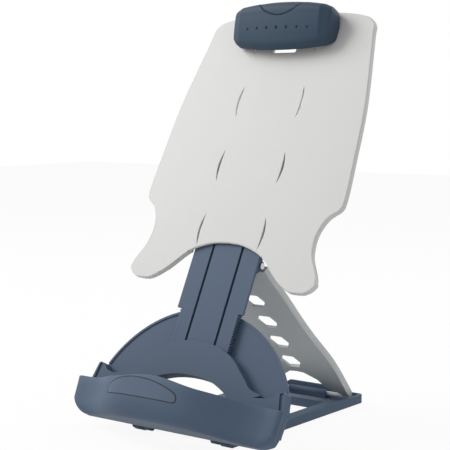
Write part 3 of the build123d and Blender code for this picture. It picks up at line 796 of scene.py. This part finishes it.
class HOLDER_OT_badge(bpy.types.Operator):
    """Make the badge: a bare half moon let into the lip, with a thin black ring round it as the
    painted shade of its groove
    """

    bl_idname = "holder.badge"
    bl_label = "Badge"

    def execute(self, context):
        self.plate("badge_skin", 0.0, sizes().badge_rise / MM, "badge", "badge_plate")
        # The ring round the badge is black rubber, painted shade of the groove between badge and
        # lip
        self.plate("badge_groove", GROOVE_SHADE_WIDTH, GROOVE_SHADE_RISE, "rubber")
        return {"FINISHED"}

    def plate(self, name, grow, rise, slot, *nodes):
        """A thin plate that follows the lip, drawn out by grow and standing out by rise."""
        half = BADGE_LENGTH / 2
        left, right = BADGE_LEFT - grow, BADGE_LEFT + BADGE_LENGTH + grow
        loops = []
        for i in range(BADGE_COLUMNS + 1):
            x = BADGE_LEFT + half - (half + grow) * cos(pi * i / BADGE_COLUMNS)
            low, high = moon_span(min(max(x, left + 0.01), right - 0.01), grow)
            heights = [low + (high - low) * k / BADGE_ROWS for k in range(BADGE_ROWS + 1)]
            front = [on_stand(x, s, lip_depth(x, s) + rise) for s in heights]
            back = [on_stand(x, s, lip_depth(x, s) - BADGE_SINK) for s in reversed(heights)]
            loops.append(front + back)
        finish_piece(add_object(name, skin_of_loops(name, loops)), "stand", slot, *nodes)


# Clip


CLIP_CURVE = smooth_row(CLIP_NOSE, 6)


def clip_ends(x, inset):
    """Lowest and highest s of the clip at x, with its round corners."""
    bow = (x / CLIP_HALF) ** 2
    radius = CLIP_CORNER - inset
    beyond = min(max(abs(x) - CLIP_HALF + CLIP_CORNER, 0.0), radius)
    drop = inset + round_drop(radius, beyond)
    return CLIP_LOW_S + CLIP_LOW_BOW * bow + drop, CLIP_TOP_S - CLIP_TOP_BOW * bow - drop


def scoop_depth(x, s):
    """Depth of the thumb scoop: a shallow step within its rim and a groove along the rim."""
    within = SCOOP_RADIUS - hypot(x, s - SCOOP_S)
    if within <= -0.5:
        return 0.0
    depth = SCOOP_DEPTH * min(max(within / SCOOP_STEP, 0.0), 1.0)
    if abs(within) < SCOOP_GROOVE_HALF:
        depth += SCOOP_GROOVE * (1 - (within / SCOOP_GROOVE_SPREAD) ** 2)
    return depth


def dimple_depth(x, s):
    """Depth of the row of seven dimples."""
    depth = 0.0
    for index, radius in enumerate(DIMPLE_RADII):
        span = hypot(x - (index - 3) * DIMPLE_PITCH, s - DIMPLES_S) / radius
        if span < 1:
            depth += DIMPLE_DEPTH * (1 - span**4)
    return depth


def clip_depth(x, s):
    """Depth of the clip's front: a dome with end facets, a thumb scoop and seven dimples."""
    low, high = clip_ends(x, 0.0)
    bow = (x / CLIP_HALF) ** 2
    tall = CLIP_TOP_S - CLIP_LOW_S
    rise = tall * (s - CLIP_LOW_S - CLIP_LOW_BOW * bow)
    middle = CLIP_LOW_S + rise / (tall - (CLIP_LOW_BOW + CLIP_TOP_BOW) * bow)
    facet = max(abs(x) - FACET_X, 0.0) / FACET_WIDTH
    dome = 1 - DOME_FALL * min(abs(x) / FACET_X, 1.0) ** 2 - FACET_FALL * facet
    depth = on_row(CLIP_CURVE, middle) * dome
    near = max(min(s - low, high - s, (CLIP_HALF - abs(x)) * 1.2), 0.0)
    if near < CLIP_ROUND:
        depth -= round_drop(CLIP_ROUND, CLIP_ROUND - near)
    return depth - scoop_depth(x, s) - dimple_depth(x, s)


class HOLDER_OT_clip(bpy.types.Operator):
    """Make the clip: a hollow domed lever with a thumb scoop, seven dimples and round corners"""

    bl_idname = "holder.clip"
    bl_label = "Clip"

    def execute(self, context):
        columns, rows = CLIP_COLUMNS, CLIP_ROWS
        outer = self.sheet(columns, rows, 0.0)
        inner = self.sheet(columns, rows, CLIP_WALL)
        ring = [(0, j) for j in range(rows)] + [(i, rows) for i in range(columns)]
        ring += [(columns - i, rows - j) for i, j in ring]
        places, faces = outer + inner, []
        for base in (0, len(outer)):
            for i in range(columns):
                for j in range(rows):
                    corner = base + i * (rows + 1) + j
                    faces.append((corner, corner + 1, corner + rows + 2, corner + rows + 1))
        start = len(places)
        for source in (outer, inner):
            for i, j in ring:
                x, s, d = source[i * (rows + 1) + j]
                places.append((x, s, min(on_row(CLIP_BACK, s), d - 0.05)))
        count = len(ring)
        for k in range(count):
            after = (k + 1) % count
            edge = [i * (rows + 1) + j for i, j in (ring[k], ring[after])]
            faces.append((edge[0], edge[1], start + after, start + k))
            within = [len(outer) + value for value in edge]
            faces.append((within[0], within[1], start + count + after, start + count + k))
            faces.append((start + k, start + after, start + count + after, start + count + k))
        mesh = solid_mesh("clip_skin", [on_stand(*place) for place in places], faces)
        smooth(mesh, 50.0)
        clip = add_object("clip_skin", mesh)
        finish_piece(clip, "jaw", "slate", "clip_cover", material="deep_slate")
        return {"FINISHED"}

    def sheet(self, columns, rows, inset):
        """Places of the clip's front, or of its hollow when inset by the wall."""
        places = []
        for i in range(columns + 1):
            turn = 2 * i / columns - 1
            x = (CLIP_HALF - inset) * (turn * 0.85 + 0.15 * turn**3)
            low, high = clip_ends(x, inset)
            for j in range(rows + 1):
                s = low + (high - low) * j / rows
                if inset:
                    level = min(max(s, low + CLIP_ROUND), high - CLIP_ROUND)
                    depth = clip_depth(x * HOLLOW_REACH, level) - inset - HOLLOW_GAP
                else:
                    depth = clip_depth(x, s)
                places.append((x, s, depth))
        return places


# Rows of like pieces, made with Geometry Nodes


def row_tree():
    """Geometry Nodes tree: copies of a shape at even steps along a row."""
    tree = bpy.data.node_groups.new("row_of_copies", "GeometryNodeTree")
    inputs = {
        "Shape": "NodeSocketObject",
        "Count": "NodeSocketInt",
        "Start": "NodeSocketVector",
        "Step": "NodeSocketVector",
        "Finish": "NodeSocketMaterial",
    }
    for label, kind in inputs.items():
        tree.interface.new_socket(label, in_out="INPUT", socket_type=kind)
    tree.interface.new_socket("Geometry", in_out="OUTPUT", socket_type="NodeSocketGeometry")
    given = tree.nodes.new("NodeGroupInput")
    result = tree.nodes.new("NodeGroupOutput")
    row = tree.nodes.new("GeometryNodeMeshLine")
    shape = tree.nodes.new("GeometryNodeObjectInfo")
    copies = tree.nodes.new("GeometryNodeInstanceOnPoints")
    real = tree.nodes.new("GeometryNodeRealizeInstances")
    finish = tree.nodes.new("GeometryNodeSetMaterial")
    for source, output, target, entry in (
        (given, "Count", row, "Count"),
        (given, "Start", row, "Start Location"),
        (given, "Step", row, "Offset"),
        (given, "Shape", shape, "Object"),
        (row, "Mesh", copies, "Points"),
        (shape, "Geometry", copies, "Instance"),
        (copies, "Instances", real, "Geometry"),
        (real, "Geometry", finish, "Geometry"),
        (given, "Finish", finish, "Material"),
        (finish, "Geometry", result, "Geometry"),
    ):
        tree.links.new(source.outputs[output], target.inputs[entry])
    return tree


def copied_row(tree, shape_mesh, count, start, step, slot):
    """The mesh of a row of copies. The shape's own place is the row's zero."""
    shape = add_object("row_shape", shape_mesh)
    maker = add_object("row_maker", bpy.data.meshes.new("row_maker"))
    row = maker.modifiers.new("row", "NODES")
    row.node_group = tree
    given = {
        "Shape": shape, "Count": count, "Start": start, "Step": step,
        "Finish": bpy.data.materials[slot],
    }
    for socket in tree.interface.items_tree:
        if socket.in_out == "INPUT":
            row[socket.identifier] = given[socket.name]
    bpy.context.view_layer.update()
    graph = bpy.context.evaluated_depsgraph_get()
    mesh = bpy.data.meshes.new_from_object(maker.evaluated_get(graph))
    bpy.data.objects.remove(maker)
    bpy.data.objects.remove(shape)
    return mesh


def along(x, s):
    """A step over the stand's face, as a vector in metres."""
    return on_stand(x, s, 0) - on_stand(0, 0, 0)


def rectangle(x0, x1, s0, s1):
    """A rectangle in (x, s)."""
    return [(x0, s0), (x1, s0), (x1, s1), (x0, s1)]


def circle(radius, steps=24):
    """A circle in (x, s) round their zero."""
    turns = [2 * pi * k / steps for k in range(steps)]
    return [(radius * cos(turn), radius * sin(turn)) for turn in turns]


class HOLDER_OT_racks(bpy.types.Operator):
    """Make the toothed strips down both edges of the neck"""

    bl_idname = "holder.racks"
    bl_label = "Racks"

    def execute(self, context):
        tree = row_tree()
        for side, name in ((1, "rack_right"), (-1, "rack_left")):
            mesh = self.strip(tree, side)
            finish_piece(add_object(name + "_skin", mesh), "stand", "slate", name)
        return {"FINISHED"}

    def strip(self, tree, side):
        """One strip with its tall teeth below the shoulder and its low teeth above."""
        low, shoulder = RACK_LOW, RACK_SHOULDER
        xs = sorted((side * RACK_INNER, side * RACK_ROOT))
        behind, front = rectangle(*xs, low, RACK_HIGH), rectangle(*xs, low, shoulder)
        parts = [
            cut_sheet("strip", [behind], RACK_BACK, NECK_BACK, 0.2 * MM),
            cut_sheet("strip", [front], NECK_BACK - RACK_OVERLAP, NECK_FRONT, 0.2 * MM),
        ]
        foot, crown = TOOTH_FOOT * TOOTH_PITCH, TOOTH_CROWN * TOOTH_PITCH
        root, tip = side * (RACK_ROOT - TOOTH_SINK), side * RACK_TIP
        tooth = [(root, -foot), (tip, -crown), (tip, crown), (root, foot)]
        tall = int((shoulder - low) / TOOTH_PITCH)
        count = int((RACK_HIGH - low) / TOOTH_PITCH) - 1
        for first, number, top in ((1, tall, NECK_FRONT), (tall + 1, count - tall, NECK_BACK)):
            shape = cut_sheet("tooth", [tooth], RACK_BACK, top, 0.15 * MM)
            start = along(0, low + first * TOOTH_PITCH)
            parts.append(copied_row(tree, shape, number, start, along(0, TOOTH_PITCH), "slate"))
        return joined("rack_strip", parts)


def screw_shape(radius, head_d, tip_d):
    """A pan-head screw with a cross recess, standing at the stand's zero."""
    arm, half = radius * CROSS_ARM, CROSS_HALF
    corners = [(arm, half), (half, half), (half, arm), (-half, arm), (-half, half), (-arm, half)]
    cross = corners + [(-x, -s) for x, s in corners]
    seat_d = head_d - SCREW_SEAT
    crown = cut_sheet(
        "crown", [circle(radius), cross], head_d - SCREW_HEAD, seat_d + SCREW_OVERLAP, 0.2 * MM
    )
    seat = cut_sheet("seat", [circle(radius - 0.02)], seat_d, head_d, 0.15 * MM)
    shaft = circle(SCREW_SHANK, steps=12)
    shank = cut_sheet("shank", [shaft], head_d - SCREW_OVERLAP, tip_d, 0.1 * MM)
    return joined("screw", [crown, seat, shank])


class HOLDER_OT_screws(bpy.types.Operator):
    """Make the screws behind the neck, the cover, the strut bracket and the guides"""

    bl_idname = "holder.screws"
    bl_label = "Screws"

    def execute(self, context):
        tree = bpy.data.node_groups["row_of_copies"]
        for name, (body, radius, head_d, tip_d, rows) in SCREWS.items():
            parts = []
            for x, s in rows:
                start, step = along(-x, s), along(2 * x, 0)
                screw = screw_shape(radius, head_d, tip_d)
                parts.append(copied_row(tree, screw, 2, start, step, "steel"))
            finish_piece(add_object(name + "_skin", joined(name, parts)), body, "steel", name)
        return {"FINISHED"}


# Stage


def camera_ray_share(tree):
    """Light Path's share of rays that come from the camera, a mirror or clear glass."""
    path = node(tree, "ShaderNodeLightPath")
    total = path.outputs["Is Camera Ray"]
    for name in ("Is Glossy Ray", "Is Transmission Ray"):
        most = node(tree, "ShaderNodeMath", operation="MAXIMUM")
        tree.links.new(total, most.inputs[0])
        tree.links.new(path.outputs[name], most.inputs[1])
        total = most.outputs[0]
    return total


def mix_surface(tree, output, share, first, second):
    """Mix two shaders by a share, into the tree's output node."""
    mix = node(tree, "ShaderNodeMixShader")
    for source, entry in zip((share, first, second), mix.inputs):
        tree.links.new(source, entry)
    tree.links.new(mix.outputs[0], tree.nodes[output].inputs["Surface"])


def lay_floor():
    """A pale desk that shows white to the camera and keeps the holder's soft shadow."""
    half = DESK_HALF
    corners = [(-half, -half, 0), (half, -half, 0), (half, half, 0), (-half, half, 0)]
    mesh = bpy.data.meshes.new("desk")
    mesh.from_pydata(corners, [], [(0, 1, 2, 3)])
    desk = add_object("desk", mesh)
    material = bpy.data.materials.new("desk")
    material.use_nodes = True
    tree = material.node_tree
    shader = tree.nodes["Principled BSDF"]
    shader.inputs["Base Color"].default_value = (*colours().floor, 1)
    shader.inputs["Roughness"].default_value = 0.9
    glow = node(tree, "ShaderNodeEmission")
    share = node(tree, "ShaderNodeMath", operation="MULTIPLY")
    share.inputs[1].default_value = DESK_WHITE
    tree.links.new(camera_ray_share(tree), share.inputs[0])
    mix_surface(tree, "Material Output", share.outputs[0], shader.outputs[0], glow.outputs[0])
    desk.data.materials.append(material)


def light_world():
    """An even studio sky, white to the camera."""
    world = bpy.data.worlds.new("studio")
    bpy.context.scene.world = world
    world.use_nodes = True
    tree = world.node_tree
    sky = tree.nodes["Background"]
    sky.inputs["Color"].default_value = (1, 1, 1, 1)
    sky.inputs["Strength"].default_value = SKY_STRENGTH
    white = node(tree, "ShaderNodeBackground", Color=(1, 1, 1, 1))
    mix_surface(tree, "World Output", camera_ray_share(tree), sky.outputs[0], white.outputs[0])


def aimed(name, data, turn, rise, distance):
    """A lamp or camera at a place round the holder's middle, aimed at it."""
    thing = add_object(name, data)
    away = Vector((sin(turn) * cos(rise), -cos(turn) * cos(rise), sin(rise)))
    thing.location = VIEW_TARGET + distance * away
    thing.rotation_euler = (VIEW_TARGET - thing.location).to_track_quat("-Z", "Y").to_euler()
    return thing


class HOLDER_OT_stage(bpy.types.Operator):
    """Lay the desk, light it softly and set the camera"""

    bl_idname = "holder.stage"
    bl_label = "Stage"

    def execute(self, context):
        context.scene.view_settings.view_transform = "Standard"
        lay_floor()
        light_world()
        for name, (turn, rise, distance, size, watts) in LAMPS.items():
            lamp = bpy.data.lights.new(name, "AREA")
            lamp.shape = "SQUARE"
            lamp.size = size
            lamp.energy = watts
            aimed(name, lamp, radians(turn), radians(rise), distance)
        camera = bpy.data.cameras.new("camera")
        camera.sensor_width = SENSOR_WIDTH
        camera.lens = FOCAL_LENGTH
        view = (sizes().view_turn, sizes().view_rise, sizes().view_distance)
        context.scene.camera = aimed("camera", camera, *view)
        return {"FINISHED"}


class HOLDER_PT_panel(bpy.types.Panel):
    """The holder's sizes, colours and steps"""

    bl_idname = "HOLDER_PT_panel"
    bl_label = "Document holder"
    bl_space_type = "VIEW_3D"
    bl_region_type = "UI"
    bl_category = "Document holder"

    def draw(self, context):
        for settings in (sizes(), colours()):
            for name in settings.__annotations__:
                self.layout.prop(settings, name)
        for step in STEPS:
            self.layout.operator(step.bl_idname)


STEPS = (
    HOLDER_OT_finishes,
    HOLDER_OT_board,
    HOLDER_OT_tray,
    HOLDER_OT_badge,
    HOLDER_OT_clip,
    HOLDER_OT_racks,
    HOLDER_OT_screws,
    HOLDER_OT_stage,
)
CLASSES = (HolderSizes, HolderColours, *STEPS, HOLDER_PT_panel)


def register():
    """Register the classes and the scene's settings."""
    for one in CLASSES:
        bpy.utils.register_class(one)
    bpy.types.Scene.holder_sizes = PointerProperty(type=HolderSizes)
    bpy.types.Scene.holder_colours = PointerProperty(type=HolderColours)


def unregister():
    """Remove the settings and the classes."""
    del bpy.types.Scene.holder_colours
    del bpy.types.Scene.holder_sizes
    for one in reversed(CLASSES):
        bpy.utils.unregister_class(one)


def main():
    """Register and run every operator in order."""
    register()
    for step in STEPS:
        group, name = step.bl_idname.split(".")
        getattr(getattr(bpy.ops, group), name)()


if __name__ == "__main__":
    main()
